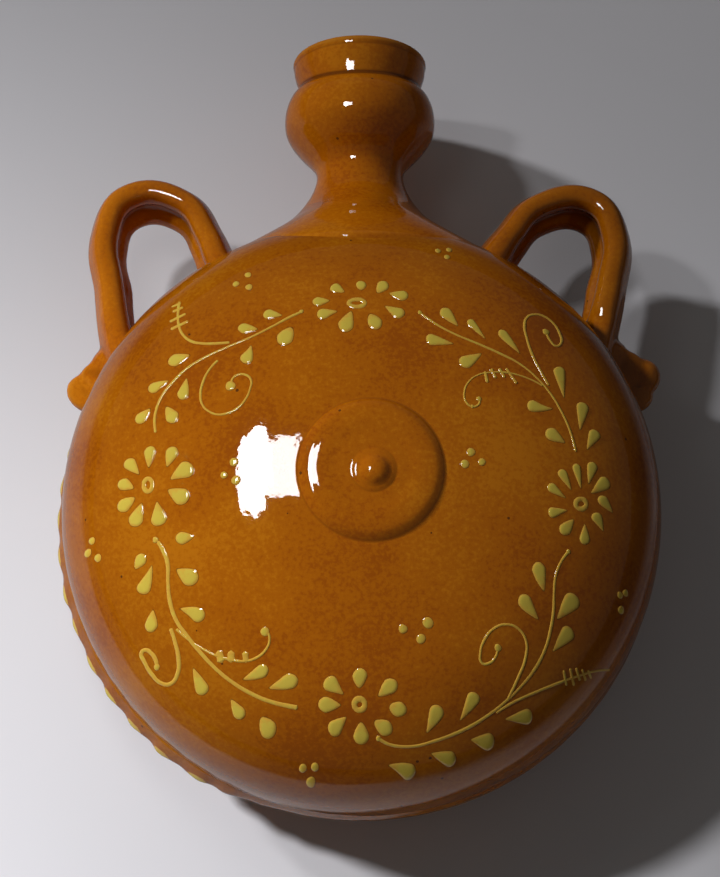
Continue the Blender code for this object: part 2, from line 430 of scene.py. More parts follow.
def makeGlaze(name, **changes):
    own = plainGlaze | changes
    material, tree, shader, coords = startMaterial(name)
    place = newNode(tree, "ShaderNodeSeparateXYZ")
    tree.links.new(coords, place.inputs[0])
    x, y, z = place.outputs
    offMiddle = vectorMaths(tree, "LENGTH", vectorMaths(tree, "MULTIPLY", coords, (1, 1, 0)))

    # tone: broad drifts and a fine grain
    drifted = vectorMaths(tree, "ADD", coords, own["drift"])
    broad = noise(tree, drifted, honey["toneSize"], 3, 0.55)
    grain = noise(tree, coords, honey["grainSize"], 2, 0.6)
    share = honey["grainShare"]
    blend = plus(tree, times(tree, broad, 1 - share), times(tree, grain, share))
    tones = (honey["deep"], honey["main"], honey["light"])
    glaze = ramp(tree, blend, list(zip(honey["tonePlaces"], tones)), "EASE")

    # it gathers dark in hollows and runs thin off edges
    pool = newNode(tree, "ShaderNodeAttribute", attribute_name="pool").outputs["Fac"]
    fray = times(tree, maths(tree, "SUBTRACT", grain, 0.5), honey["poolFray"])
    ragged = plus(tree, pool, fray)
    hollow = ramp(tree, ragged, honey["hollowStops"])
    edge = ramp(tree, times(tree, ragged, -1.0), honey["edgeStops"])
    glaze = mixColor(tree, hollow, glaze, honey["pooled"])
    glaze = mixColor(tree, edge, glaze, honey["worn"])

    # iron specks
    cells = newNode(tree, "ShaderNodeTexVoronoi")
    cells.inputs["Scale"].default_value = honey["speckSize"]
    tree.links.new(coords, cells.inputs["Vector"])
    parts = newNode(tree, "ShaderNodeSeparateColor")
    tree.links.new(cells.outputs["Color"], parts.inputs[0])
    near = maths(tree, "LESS_THAN", cells.outputs["Distance"], honey["speckHalf"])
    rare = maths(tree, "GREATER_THAN", parts.outputs[0], honey["speckRare"])
    speck = times(tree, near, rare)
    glaze = mixColor(tree, times(tree, speck, honey["speckDark"]), glaze, honey["speck"])

    # tints, and painted shade towards the right and towards the rim
    glaze = mixColor(tree, 1.0, glaze, (own["tint"],) * 3, "MULTIPLY")
    # painted shade: the glaze darkens across to the right
    if own["rightTint"] < 1:
        across = plus(tree, times(tree, x, 1 / honey["acrossAll"]), 0.5)
        shade = ramp(tree, across, [(0.1, 1.0), (0.9, own["rightTint"])])
        glaze = mixColor(tree, 1.0, glaze, shade, "MULTIPLY")
    # painted shade: darker towards the rim
    if own["rimTint"] < 1:
        start, end = honey["rimRun"]
        shade = ramp(tree, offMiddle, [(start, 1.0), (end, own["rimTint"])], "EASE")
        glaze = mixColor(tree, 1.0, glaze, shade, "MULTIPLY")

    # yellow slip, where the mesh carries it
    there = newNode(tree, "ShaderNodeAttribute", attribute_name="slip").outputs["Fac"]
    rim = own["slipRim"]
    # a dark ring round the slip: glaze pooled against it, and painted shade beside the raised slip
    halo = ramp(tree, there, [(0.0, 0.0), (0.07, 0.85 * rim), (0.16, rim), (0.30, 0.0)])
    mottle = noise(tree, coords, honey["mottleSize"], 3, 0.65)
    mottle = maths(tree, "SUBTRACT", mottle, 0.5)
    frayed = plus(tree, there, times(tree, mottle, honey["slipFray"]))
    frayed = maths(tree, "MINIMUM", frayed, times(tree, there, 3.0))
    cover = ramp(tree, frayed, honey["coverStops"])
    thick = plus(tree, there, times(tree, mottle, honey["slipMottle"]))
    tones = (honey["slipThin"], honey["slipThick"])
    slipTone = ramp(tree, thick, list(zip(honey["slipPlaces"], tones)), "EASE")
    color = mixColor(tree, halo, glaze, honey["slipEdge"])
    color = mixColor(tree, cover, color, slipTone)

    # worn to bare clay low on the back
    if own["wear"]:
        worn = ramp(tree, noise(tree, coords, honey["wearSize"], 5, 0.7), honey["wearStops"])
        low = ramp(tree, times(tree, z, 100.0), honey["wearLow"])
        color = mixColor(tree, times(tree, worn, low), color, honey["clay"])
    tree.links.new(color, shader.inputs["Base Color"])
    for socket, value in (
        ("Roughness", honey["clayRough"]),
        ("Specular IOR Level", 0.0),  # only the glaze on top shines
        ("Coat Weight", 1.0),
        ("Coat Roughness", honey["coatRough"]),
        ("Coat IOR", honey["coatIor"]),
    ):
        shader.inputs[socket].default_value = value

    # relief: orange peel, pinholes and faint wheel marks
    peel = noise(tree, coords, honey["peelSize"], 3, 0.55)
    reach = offMiddle if own["wheelAxis"] == "Z" else y
    wander = times(tree, noise(tree, coords, 30, 2, 0.5), honey["wheelWander"])
    wave = times(tree, plus(tree, reach, wander), math.tau / honey["wheelGap"])
    wave = times(tree, maths(tree, "SINE", wave), honey["wheelHeight"])
    height = plus(tree, times(tree, peel, honey["peelHeight"]), wave)
    for kind in ("slow", "fine"):
        waves = noise(tree, coords, honey[kind + "Size"], 2, 0.6)
        height = plus(tree, height, times(tree, waves, honey[kind + "Height"]))
    height = maths(tree, "SUBTRACT", height, times(tree, speck, honey["speckDeep"]))
    bump = newNode(tree, "ShaderNodeBump")
    bump.inputs["Strength"].default_value = 1.0
    bump.inputs["Distance"].default_value = 1.0
    tree.links.new(height, bump.inputs["Height"])
    tree.links.new(bump.outputs[0], shader.inputs["Normal"])
    tree.links.new(bump.outputs[0], shader.inputs["Coat Normal"])
    return material


# Body: two thrown shells


def bowl(radius, depth, full, steps):
    # from the crown to the rim, as (radius, height over the rim)
    points = []
    for step in range(steps + 1):
        turn = math.pi / 2 * step / steps
        points.append((radius * math.sin(turn), depth * max(math.cos(turn), 0) ** (2 / full)))
    points[-1] = (radius, 0)
    return points


def cutBore(obj):
    letGo()
    bpy.ops.mesh.primitive_cylinder_add(
        vertices=48,
        radius=body["bore"],
        depth=body["boreLong"],
        location=(0, body["radius"], body["seam"]),
        rotation=(math.pi / 2, 0, 0),
    )
    cutter = bpy.context.object
    cut = obj.modifiers.new("bore", "BOOLEAN")
    cut.operation = "DIFFERENCE"
    cut.solver = "EXACT"
    cut.object = cutter
    applyAll(obj)
    bpy.data.objects.remove(cutter)


def makeFront():
    seam = body["seam"] + body["seamSlack"]
    radius, depth, full, wall = body["radius"], body["frontDepth"], body["frontFull"], body["wall"]
    outSteps, inSteps = body["frontSteps"]
    outside = bowl(radius, depth, full, outSteps)
    inside = bowl(radius - wall, depth - wall, full, inSteps)
    points = [(across, 0, seam + height) for across, height in outside + inside[::-1]]
    front = throw("frontShell", points, body["turns"])
    handShape(front, "frontHands", body["unevenSize"], body["uneven"])
    cutBore(front)
    smooth(front)
    return front


def makeBack():
    seam = body["seam"] - body["seamSlack"]
    radius, depth, full, wall = body["radius"], body["backDepth"], body["backFull"], body["wall"]
    outSteps, inSteps = body["backSteps"]
    inside = bowl(radius - wall, seam - wall, full, inSteps)
    outside = [point for point in bowl(radius, depth, full, outSteps) if point[1] < seam]
    points = [(across, 0, seam - height) for across, height in inside + outside[::-1]]
    foot = radius * math.sqrt(1 - (seam / depth) ** full)
    points += [(foot, 0, 0)]
    points += [(foot * share, 0, height) for share, height in body["footHollow"]]
    back = throw("backShell", points, body["turns"])
    cutBore(back)
    smooth(back)
    return back


def frontPlace(front, x, y):
    # the front's surface over a point of the plan, with the outward direction there
    start = Vector((x, y, 0.3))
    found, place, normal, face = front.ray_cast(start, Vector((0, 0, -1)))
    if not found or place.z < body["seam"]:
        return None, None
    rise = max(place.z - body["seam"], 0.0005)
    depth, full = body["frontDepth"], body["frontFull"]
    flat = Vector((2 * x, 2 * y)) / body["radius"] ** 2
    outward = Vector((flat.x, flat.y, full / depth * (rise / depth) ** (full - 1)))
    return place, outward.normalized()


# Boss: a low turned disc with a nipple, laid on the front

boss = {
    "center": (0.0018, 0.0),
    "turns": 128,
    "profile": (  # radius, height over the dome
        (0.0000, 0.0055), (0.0020, 0.0053), (0.0034, 0.0048), (0.0045, 0.0041),
        (0.0053, 0.0035), (0.0062, 0.0030), (0.0072, 0.0027), (0.0081, 0.0024),
        (0.0088, 0.0023), (0.0100, 0.0023), (0.0140, 0.0023), (0.0180, 0.0025),
        (0.0215, 0.0024), (0.0238, 0.0021), (0.0252, 0.0015), (0.0263, 0.0008),
        (0.0271, 0.0002), (0.0282, -0.0001), (0.0294, -0.0004),
    ),
    "nippleOff": (0.0014, -0.0016),  # the nipple sits a little off the ring's middle
    "nippleReach": 0.0130,
}


def makeBoss(front):
    line = softLine([(radius, 0, height) for radius, height in boss["profile"]], 4)
    line[0].x = 0
    disc = throw("frontBoss", line, boss["turns"])
    for vertex in disc.data.vertices:
        lift = vertex.co.z
        share = max(1 - vertex.co.xy.length / boss["nippleReach"], 0)
        share *= 2 - share
        flat = vertex.co.xy + Vector(boss["center"]) + Vector(boss["nippleOff"]) * share
        place, outward = frontPlace(front, flat.x, flat.y)
        vertex.co = place + Vector((0, 0, 1)) * lift
    smooth(disc, 60)
    return disc


# Edge strip: a band of clay pinched like a pie crust, its crests dabbed with slip

strip = {
    "inner": 0.1180,
    "reach": 0.0037,
    "half": 0.0048,
    # slopes out from the front shell to a blunt edge, as shares of the reach and the half
    "outline": (
        (0, 1.12), (0.14, 1.10), (0.30, 0.88), (0.50, 0.55), (0.72, 0.18), (0.90, -0.18),
        (1, -0.50), (0.94, -0.80), (0.66, -1.04), (0.30, -1.10), (0, -1.02),
    ),
    "crests": 50,
    "steps": 16,
    "shift": 0.16,  # share of a crimp by which a crest sits off its place
    "press": 0.0012,
    "uneven": 0.0003,
    "lift": 0.0004,
    "twist": 0.0003,
    "sway": 0.0002,
    "smooth": (308, 52, 70),  # degrees: middle of the wiped part, where it starts to end, end
    "smoothReach": 0.42,  # share of the reach and of the crimps left there
    "smoothPress": 0.06,
    "wide": (192, 38, 60),  # the left side stands out further
    "wideReach": 1.26,
    "dab": 0.45,  # share of the crests that took slip
    "dabAlways": (150, 238),  # degrees, the left side where nearly all took it
    "dabNever": (242, 345),
    "dabAcross": 0.31,  # half its width, as a share of a crimp
    "dabUp": (-0.42, 0.62),  # its middle and half its height, as shares of the half
    "openHalf": 25,  # degrees, half the opening: it lies at 115 to 165, not under the neck
}


def around(degrees, part):
    # 1 near the middle of a part of the rim, fading to 0 at its end
    middle, full, end = part
    away = abs((degrees - middle + 180) % 360 - 180)
    return ease(min(max((end - away) / (end - full), 0), 1))


def within(degrees, part):
    return part[0] < degrees < part[1]


def makeStrip():
    inner, half, reach = strip["inner"], strip["half"], strip["reach"]
    crests = strip["crests"]
    gap = math.radians(strip["openHalf"])
    start = math.pi / 2 + gap
    points = []
    for out, up in strip["outline"]:
        radius = inner + reach * out
        x, y = radius * math.cos(start), radius * math.sin(start)
        points.append((x, y, body["seam"] + half * up))
    points = softLine(points, 2)
    band = throw("edgeStrip", points, crests * strip["steps"], angle=math.tau - 2 * gap)
    openMesh(band, "DESELECT")  # close its two ends
    bpy.ops.mesh.select_non_manifold()
    bpy.ops.mesh.edge_face_add()
    closeMesh()
    wobble = [random.uniform(-1, 1) for crest in range(crests)]
    drift = [random.uniform(-strip["shift"], strip["shift"]) for crest in range(crests)]
    dabs = []
    for crest in range(crests):
        amount, chance = random.uniform(0.7, 1), random.random()
        degrees = crest * 360 / crests
        took = within(degrees, strip["dabAlways"]) or chance < strip["dab"]
        dabs.append(amount if took and not within(degrees, strip["dabNever"]) else 0)
    amounts = []
    for vertex in band.data.vertices:
        turn = math.atan2(vertex.co.y, vertex.co.x) % math.tau / math.tau
        wiped, wide = around(turn * 360, strip["smooth"]), around(turn * 360, strip["wide"])
        crest = int(turn * crests + 0.5)
        offset = turn * crests - crest  # 0 at the crest, a half at the press
        crest %= crests
        shifted = offset - drift[crest] * math.cos(offset * math.pi) ** 2
        top = 0.5 + 0.5 * math.cos(shifted * math.tau)
        radius = vertex.co.xy.length
        out = max((radius - inner) / reach, 0)
        up = (vertex.co.z - body["seam"]) / half
        more = (strip["smoothReach"] - 1) * wiped + (strip["wideReach"] - 1) * wide
        hand = (1 + (strip["smoothPress"] - 1) * wiped) * out
        press = strip["press"] * (1 - top) ** 1.2 * hand
        press -= strip["uneven"] * wobble[crest] * top * hand
        vertex.co.xy *= (radius + reach * out * more - press) / radius
        rise = strip["lift"] * top * up + strip["twist"] * math.sin(offset * math.tau)
        vertex.co.z += hand * (rise + strip["sway"] * wobble[crest])
        # the dab is an oval on the outer half of the crest
        middle, high = strip["dabUp"]
        oval = 1 - (shifted / strip["dabAcross"]) ** 2 - ((up - middle) / high) ** 2
        outer = min(max((out - 0.50) * 5, 0), 1)
        amounts.append(min(max(oval * 2.2, 0), 1) * dabs[crest] * outer)
    markSlip(band, amounts)
    smooth(band, 60)
    return band


# Neck: thrown in one, with its foot drawn out onto the shoulder

neck = {
    "turns": 144,
    "lip": (  # radius, then y
        (0.0225, 0.1965), (0.0231, 0.1988), (0.0243, 0.2007), (0.0257, 0.2015),
        (0.0270, 0.2014), (0.0280, 0.2008), (0.0284, 0.1999), (0.0283, 0.1989),
        (0.0280, 0.1979), (0.0279, 0.1966), (0.0277, 0.1952), (0.0273, 0.1937),
        (0.0268, 0.1922), (0.0262, 0.1907), (0.0257, 0.1895), (0.0256, 0.1886),
        (0.0261, 0.1876), (0.0274, 0.1863), (0.0290, 0.1843), (0.0305, 0.1809),
        (0.0315, 0.1770), (0.0318, 0.1727), (0.0313, 0.1688), (0.0299, 0.1655),
        (0.0276, 0.1621), (0.0250, 0.1590), (0.0223, 0.1561), (0.0201, 0.1535),
        (0.0187, 0.1510), (0.0182, 0.1485),
    ),
    "grooveDip": 0.0030,  # the potter's groove sags on the front
    "grooveSpan": (0.1740, 0.1884, 0.1990),  # y where the sag starts, is whole and ends
    "grooveOut": 0.0245,  # only the clay beyond this radius sags
    "wall": 0.0055,
    "boreRadius": 0.0125,
    "mouth": (0.0222, 0.1925),  # where the bore opens into the lip
    "mouthTop": 0.190,
    "footHalf": 0.062,  # how far the foot reaches to each side
    "footFront": 0.0550,  # how far up the front it climbs, over the seam
    "footBack": 0.0290,
    "footSteps": 40,
    "footStep": 0.001,  # spacing of the foot's rings until it is drawn out
    "footFiner": 1.8,  # its rings lie closer towards the end
    "footSettle": (0.9, 0.0002),  # from here the last rings are smoothed into the body
    "footBend": (0.19, 0.50),  # pull of the curve at the waist and at the body
    "frontBend": (0.36, 0.60),  # the same in the middle of the front
    "frontTilt": 8,  # degrees by which the foot comes in flatter there
    "ledge": 0.0017,  # the roll of clay where the foot ends on the front
    "ledgeRun": (0.019, 0.09),  # shares of the foot in which it rises and fades
    "ledgeSpan": 14,  # more keeps it nearer to the middle
    "root": 0.1000,
}


def bodyEdge(x, rise):
    # y of the body's outside at x and at a height over the seam, beside the neck
    side = "front" if rise >= 0 else "back"
    share = (abs(rise) / body[side + "Depth"]) ** body[side + "Full"]
    return body["radius"] * math.sqrt(max(1 - share - (x / body["radius"]) ** 2, 0))


def footPoint(angle, t):
    # a point of the foot, from the waist at t = 0 to the body at t = 1
    side, up = math.cos(angle), math.sin(angle)
    climb = neck["footFront"] if up >= 0 else neck["footBack"]
    waist, waistY = neck["lip"][-1]
    start = Vector((waist * side, waistY, waist * up))
    end = Vector((neck["footHalf"] * side, 0, climb * up))
    end.y = bodyEdge(end.x, end.z)
    ahead = end * 1.02
    ahead.y = bodyEdge(ahead.x, ahead.z)
    along = (ahead - end).normalized()
    reach = (end - start).length
    front = max(up, 0) ** 2
    pairs = zip(neck["footBend"], neck["frontBend"])
    atWaist, atBody = [edge + (middle - edge) * front for edge, middle in pairs]
    tilt = math.radians(neck["frontTilt"]) * front
    cos, sin = math.cos(tilt), math.sin(tilt)
    flatter = Vector((along.x, along.y * cos - along.z * sin, along.y * sin + along.z * cos))
    first = start + Vector((0, -1, 0)) * reach * atWaist
    second = end - flatter * reach * atBody
    s = 1 - t
    place = s**3 * start + 3 * s * s * t * first + 3 * s * t * t * second + t**3 * end
    if up > 0:
        run, fade = neck["ledgeRun"]
        rise = ease(min(s / run, 1)) * math.exp(-((s / fade) ** 2)) * up ** neck["ledgeSpan"]
        place += Vector((0, along.z, -along.y)) * neck["ledge"] * rise
    return place


def makeNeck():
    seam, gap = body["seam"], neck["footStep"]
    waist, waistY = neck["lip"][-1]
    outside = softLine([(radius, y, 0) for radius, y in neck["lip"]], 4)
    line = [(point.x, point.y, seam) for point in outside]
    for step in range(1, neck["footSteps"] + 1):
        line.append((waist + step * gap, waistY - step * gap, seam))
    # back up through the bore
    line.append((neck["boreRadius"], neck["root"], seam))
    for point in outside[::-4]:
        if point.y < neck["mouthTop"]:
            line.append((max(point.x - neck["wall"], neck["boreRadius"]), point.y, seam))
    line.append((*neck["mouth"], seam))
    piece = throw("neck", line + line[:1], neck["turns"], axis=(0, 1, 0), center=(0, 0, seam))
    low, middle, high = neck["grooveSpan"]
    settleFrom, settle = neck["footSettle"]
    for vertex in piece.data.vertices:
        x, y, z = vertex.co
        z -= seam
        radius, angle = math.hypot(x, z), math.atan2(z, x)
        if low < y < high and radius > neck["grooveOut"]:
            share = ease(min((high - y) / (high - middle), (y - low) / (middle - low)))
            vertex.co.y -= neck["grooveDip"] * share * max(math.sin(angle), 0) ** 1.3
        step = (waistY - y) / gap
        if step < 0.5 or abs(radius - waist - step * gap) > 0.0002:
            continue
        t = 1 - max(1 - step / neck["footSteps"], 0) ** neck["footFiner"]
        vertex.co = footPoint(angle, t) + Vector((0, 0, seam))
        if t > settleFrom:
            inward = Vector((x, 1.2 * radius, z)).normalized()
            vertex.co -= inward * settle * (t - settleFrom) / (1 - settleFrom)
    openMesh(piece)
    closeMesh()
    smooth(piece, 70)
    return piece


# Handles: pulled straps, with the foot pressed out into a lump

handle = {
    "angle": 41,  # degrees off the neck
    "wide": 0.0285,
    "thick": 0.0122,
    "groove": 0.0036,
    "belly": 0.0016,
    "lean": 0.0026,  # the strap's back half lies nearer to the middle of the loop
    "leanRun": (0.004, 0.012),  # height over the seam where it starts, and how deep it grows
    "loopMiddle": (-0.006, 0.016),
    "voxel": 0.0009,
    "soften": 10,
    "dimpleRise": 0.0125,  # the dimples' height over the seam
    "uneven": 0.0005,
    "unevenSize": 0.03,
}

# path: along the rim, height over it, thickness of the strap there
# lumps: along, height, then half sizes along, out and deep
# dimples: along, height, radius, depth
handleLeft = {
    "path": (
        (-0.0215, -0.0150, 1.30), (-0.0262, 0.0020, 1.10), (-0.0300, 0.0130, 1.00),
        (-0.0320, 0.0310, 0.97), (-0.0160, 0.0474, 1.00), (0.0015, 0.0402, 1.04),
        (0.0143, 0.0215, 1.06), (0.0258, 0.0030, 1.14), (0.0340, -0.0150, 1.35),
    ),
    "lumps": (
        (0.0190, 0.0000, 0.0075, 0.0050, 0.0105), (0.0350, 0.0005, 0.0110, 0.0100, 0.0125),
        (0.0430, 0.0022, 0.0100, 0.0096, 0.0100), (0.0490, 0.0045, 0.0078, 0.0100, 0.0068),
    ),
    "dimples": (
        (0.0525, 0.0060, 0.0135, 0.0042), (0.0420, 0.0075, 0.0080, 0.0022),
        # the fold where the thumb pressed
        (0.0436, 0.0030, 0.0070, 0.0036), (0.0444, 0.0065, 0.0070, 0.0052),
        (0.0452, 0.0100, 0.0076, 0.0064),
    ),
}

handleRight = {
    "path": (
        (-0.0270, -0.0150, 1.40), (-0.0300, 0.0020, 1.18), (-0.0315, 0.0130, 1.00),
        (-0.0310, 0.0305, 0.97), (-0.0150, 0.0470, 1.00), (0.0010, 0.0410, 1.06),
        (0.0132, 0.0230, 1.10), (0.0226, 0.0045, 1.20), (0.0315, -0.0150, 1.45),
    ),
    "lumps": (
        (0.0165, 0.0005, 0.0095, 0.0062, 0.0110), (0.0325, 0.0026, 0.0120, 0.0105, 0.0125),
        (0.0405, 0.0058, 0.0100, 0.0104, 0.0100), (0.0472, 0.0122, 0.0082, 0.0088, 0.0064),
        (0.0515, 0.0066, 0.0060, 0.0072, 0.0060),
    ),
    "dimples": ((0.0425, 0.0065, 0.0125, 0.0050), (0.0205, 0.0070, 0.0080, 0.0030)),
}


def rimPlace(along, height, side):
    # a place near the rim from its distance along it and its height over it
    turn = math.radians(handle["angle"])
    outward = Vector((math.sin(turn), math.cos(turn), 0))
    tangent = Vector((math.cos(turn), -math.sin(turn), 0))
    place = outward * (body["radius"] + height) + tangent * along
    return Vector((place.x * side, place.y, body["seam"]))


def rimDrop(along):
    # how far the round rim falls away from the straight
    return body["radius"] - math.sqrt(body["radius"] ** 2 - along**2)


def strapOutline(side):
    # kidney shaped: a belly outside, a channel between two beads inside
    points = []
    for step in range(40):
        turn = math.tau * step / 40
        across = abs(math.cos(turn)) ** 0.75 * math.copysign(handle["thick"] / 2, math.cos(turn))
        deep = abs(math.sin(turn)) ** 0.8 * math.copysign(handle["wide"] / 2, math.sin(turn))
        ridge = math.exp(-((deep / (handle["wide"] * 0.20)) ** 2))
        across -= (handle["groove"] if across > 0 else handle["belly"]) * ridge
        points.append((across * side, deep))
    return points


def makeHandle(name, settings, side):
    outline = drawShape(strapOutline(side))
    places = [rimPlace(along, height, side) for along, height, fat in settings["path"]]
    fats = [fat for along, height, fat in settings["path"]]
    strap = sweep(name, outline, places, fats, 16, caps=True)
    bpy.data.objects.remove(outline)
    middle = rimPlace(*handle["loopMiddle"], side)
    top, run = handle["leanRun"]
    for vertex in strap.data.vertices:
        low = ease(min(max((body["seam"] + top - vertex.co.z) / run, 0), 1))
        vertex.co.xy += (middle - vertex.co).xy.normalized() * handle["lean"] * low

    lumps = []
    for along, height, halfAlong, halfOut, halfDeep in settings["lumps"]:
        letGo()
        bpy.ops.mesh.primitive_uv_sphere_add(segments=32, ring_count=20, radius=1)
        lump = bpy.context.object
        lump.scale = (halfOut, halfAlong, halfDeep)
        turn = math.radians(handle["angle"]) + math.asin(along / body["radius"])
        lump.rotation_euler = (0, 0, side * (math.pi / 2 - turn) + (math.pi if side < 0 else 0))
        lump.location = rimPlace(along, height - rimDrop(along), side)
        take(lump)
        bpy.ops.object.transform_apply(location=True, rotation=True, scale=True)
        lumps.append(lump)
    take(strap)
    for lump in lumps:
        lump.select_set(True)
    bpy.ops.object.join()
    blend = strap.modifiers.new("one clay", "REMESH")
    blend.mode = "VOXEL"
    blend.voxel_size = handle["voxel"]
    applyAll(strap)
    soften = strap.modifiers.new("soften", "SMOOTH")
    soften.factor = 0.5
    soften.iterations = handle["soften"]
    applyAll(strap)
    for along, height, radius, deep in settings["dimples"]:
        center = rimPlace(along, height - rimDrop(along), side)
        center.z += handle["dimpleRise"]
        for vertex in strap.data.vertices:
            away = (vertex.co - center).length / radius
            if away < 1:
                vertex.co.z -= deep * (1 - away**2) ** 2
    handShape(strap, name + "Hands", handle["unevenSize"], handle["uneven"])
    smooth(strap, 80)
    return strap


# Slip trailing: drawn flat, then laid on the front. Places are pixels of the photograph.

slip = {
    "pixel": 0.000385,  # the size of a pixel on the front
    "petalLift": 0.00048,
    "lineLift": 0.00031,
    "lineCover": 0.48,  # a trail holds less slip than a petal
    "sink": 0.00004,
    "lineFat": (0.88, 1.14),  # how a trail's width wavers
    "endFat": 0.15,
    "endReach": 0.7,
    "dropWobble": 0.05,
    "dropTaper": 0.62,
    "tipLower": 0.35,
    "blobLift": 0.8,
    # half a bead with a thin skirt, as (across, lift), 1 wide to each side
    "bead": (
        (1.50, 0.0), (1.28, 0.015), (1.12, 0.07), (1.0, 0.22), (0.88, 0.46),
        (0.70, 0.74), (0.46, 0.92), (0.22, 0.985), (0.0, 1.0),
    ),
    # half a round drop, 1 in radius
    "drop": (
        (0.0, 1.0), (0.24, 0.99), (0.46, 0.96), (0.63, 0.89), (0.76, 0.77), (0.86, 0.60),
        (0.94, 0.40), (1.0, 0.22), (1.06, 0.09), (1.14, 0.03), (1.26, 0.0),
    ),
}

# each flower: the ring's middle, its half sizes and width, then petals as
# fat end, tip and width
flowers = {
    "top": (
        (357, 303, 8.0, 3.6, 4.2),
        (336, 288, 344, 292, 11), (361, 285, 360, 290, 10), (383, 286, 377, 293, 12),
        (402, 295.5, 389, 293, 12), (398, 313, 385, 306, 12.5), (375, 323, 369, 314, 14),
        (346, 325, 352, 311, 15), (323, 314, 337, 311.5, 12), (318, 301.5, 330, 300.5, 10.5),
    ),
    "left": (
        (148, 485, 4.2, 6.4, 4.4),
        (150, 452, 149, 468, 11.5), (172, 453, 167, 467, 12.5), (185, 470, 171, 479, 16.5),
        (181, 496.5, 168, 490, 16), (159, 518, 157, 502, 15), (136, 519, 142, 503, 14.5),
        (124, 505, 135, 497.5, 13.5), (124, 484, 134, 488.5, 12), (130, 464, 139, 474.5, 12),
    ),
    "right": (
        (581, 504, 5.2, 5.0, 4.6),
        (552, 488, 565.5, 498, 9.5), (562.5, 474, 571, 490, 9.5), (576.5, 468, 581, 489, 8.5),
        (592, 467, 588.5, 484, 10.5), (604, 483.5, 591, 493, 13), (603, 501, 612.5, 513, 11),
        (597, 518, 603, 531, 11), (584.5, 539, 584.5, 524, 10.5), (565, 529, 573.5, 519, 12),
        (553, 512.5, 567, 510.5, 10),
    ),
    "bottom": (
        (359.5, 704.5, 5.2, 5.6, 5.2),
        (331, 684, 343, 694, 14), (359.5, 676, 359.5, 688, 13.5), (390, 686, 378, 696.5, 14),
        (399, 709.5, 389, 706, 13.5), (385, 728, 374, 721, 14), (361, 736, 361, 722, 14.5),
        (335, 727.5, 346, 717.5, 14), (326, 705, 341, 705, 14),
    ),
}

# leaves: fat end, tip, width and how far the tip curls to one side
leaves = (
    (269, 314, 282, 315.5, 11, 0), (244, 328.5, 258, 329, 11.5, 0),
    (285, 338, 292, 327, 16, 0), (247, 358, 254, 347, 12.5, 0.25),
    (175, 360, 190.5, 355, 13.5, 0), (154, 388, 168, 379.5, 11.5, -0.15),
    (183, 394, 188.5, 378.5, 11.5, 0.15), (141, 418, 150.5, 408.5, 12, 0),
    (172, 417, 165.5, 406.5, 13, 0), (446, 313, 458, 326, 12.5, 0),
    (471, 323, 485.5, 339, 8.5, 0), (503, 334, 520.5, 354, 10, 0),
    (432, 339.5, 453, 343.5, 12, 0), (466, 362, 482, 354.5, 13.5, 0.1),
    (559, 372, 564, 397.5, 12, 0), (533, 406, 551.5, 412.5, 12, 0.35),
    (582.5, 408, 580, 430, 12.5, 0), (594, 435, 587, 449.5, 12, 0),
    (552, 434.5, 565, 443, 13.5, 0), (182, 538, 194, 536, 12, 0),
    (141, 560, 135, 569, 11.5, 0), (144, 587, 154, 567, 13.5, 0.2),
    (190, 577, 176.5, 569, 16, 0), (198, 615, 182, 605, 13, 0.3),
    (151, 625, 153, 609.5, 12.5, 0), (202, 688, 193.5, 668, 12.5, 0),
    (239, 713, 231, 699, 11.5, 0), (268, 729, 260.5, 718, 16, 0),
    (262, 671, 244, 682.5, 12, -0.25), (290, 681, 270, 691.5, 14, -0.2),
    (539, 569.5, 543, 592, 13.5, 0.1), (525, 601.5, 536.5, 621, 13.5, 0.2),
    (571, 602, 557, 619, 16.5, 0), (567, 634, 553, 651, 14, 0),
    (473, 699, 461.5, 721, 12.5, -0.1), (436.5, 713, 428, 733.5, 14, -0.1),
    (526, 717, 505.5, 719, 13, 0), (487, 741.5, 471, 739.5, 14.5, 0),
    (449, 759, 431, 753.5, 13, 0), (408, 771, 391, 760.5, 14, 0.3),
)

# dots in threes: place and width
dots = (
    (236, 284, 7), (248, 275, 7), (249, 287, 7.5),
    (438, 251, 6.5), (449, 250, 6.5), (447, 257, 6.5),
    (234, 462, 8.5), (236, 480, 9), (224, 475, 7),
    (471, 452, 8.5), (465, 464, 8.5), (482, 462, 7.5),
    (92, 541, 7), (88, 553, 8), (98, 558, 7.5),
    (303, 768, 7.5), (315, 767, 7.5), (311, 782, 9),
    (403, 629, 8.5), (428, 623, 10.5), (421, 639, 9),
    (620, 595, 6.5), (625.5, 593, 6.5), (621, 610, 7.5),
)

